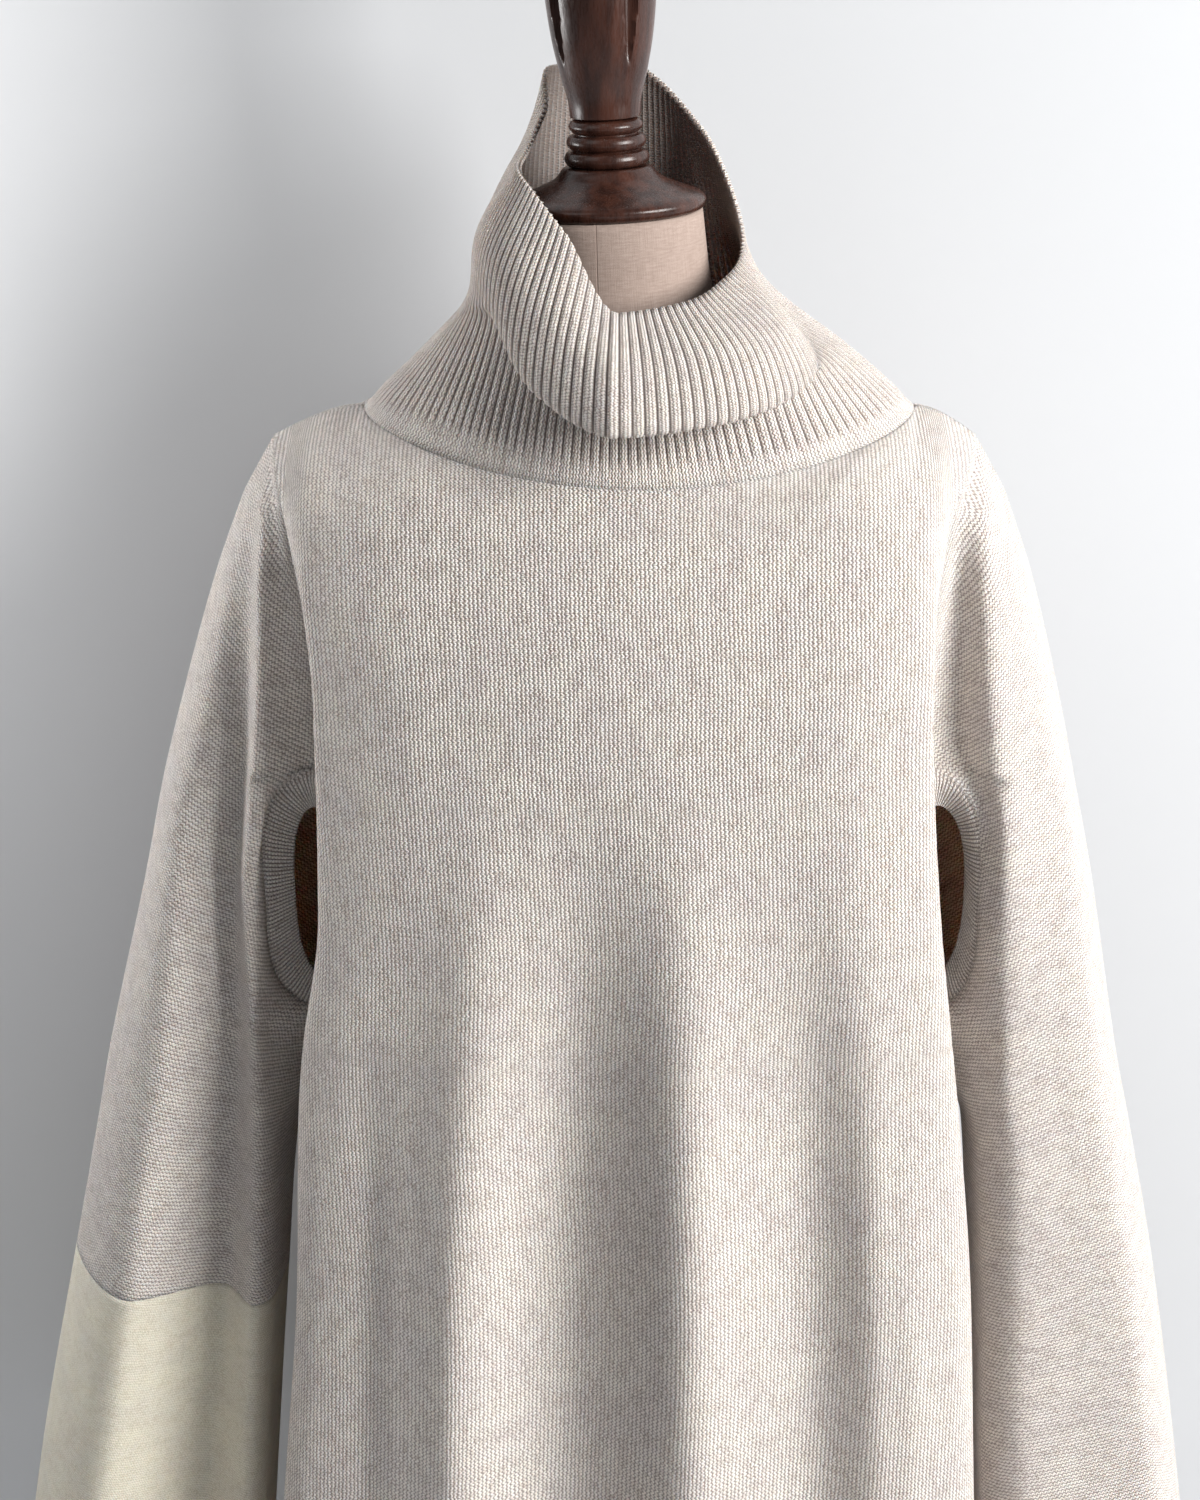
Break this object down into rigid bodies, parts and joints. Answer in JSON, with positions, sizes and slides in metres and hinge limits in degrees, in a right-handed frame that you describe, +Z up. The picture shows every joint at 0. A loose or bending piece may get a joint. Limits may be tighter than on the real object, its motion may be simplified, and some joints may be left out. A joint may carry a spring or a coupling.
{
  "type": "sweater dress on a dress form",
  "caption": "Wide knitted sweater dress with a slouchy ribbed collar, hanging sleeves and ribbed arm slits, on a limbless dress form with a turned wooden neck and round base.",
  "frame": {"origin": "centre of the base's underside, on the floor", "axes": "+Z up, -Y to the front of the dress, +X to the wearer's left"},
  "size_m": [0.758, 0.345, 1.7007],
  "materials": {
    "heather_knit": "heather oatmeal stockinette and rib, matt and slightly fuzzy",
    "cream_knit": "ecru stockinette, matt",
    "linen": "plain natural linen, tightly stretched",
    "dark_wood": "dark mahogany stain under satin varnish"
  },
  "bodies": {
    "root": {"front": "heather_knit", "back": "heather_knit", "sleeve_right": "heather_knit", "sleeve_right_block": "cream_knit", "sleeve_left": "heather_knit", "arm_band_right": "heather_knit", "arm_band_left": "heather_knit", "collar": "heather_knit", "form_torso": "linen", "neck_plate": "dark_wood", "neck_beads": "dark_wood", "finial": "dark_wood", "form_socket": "dark_wood", "pole": "dark_wood", "base": "dark_wood"}
  },
  "joints": []
}
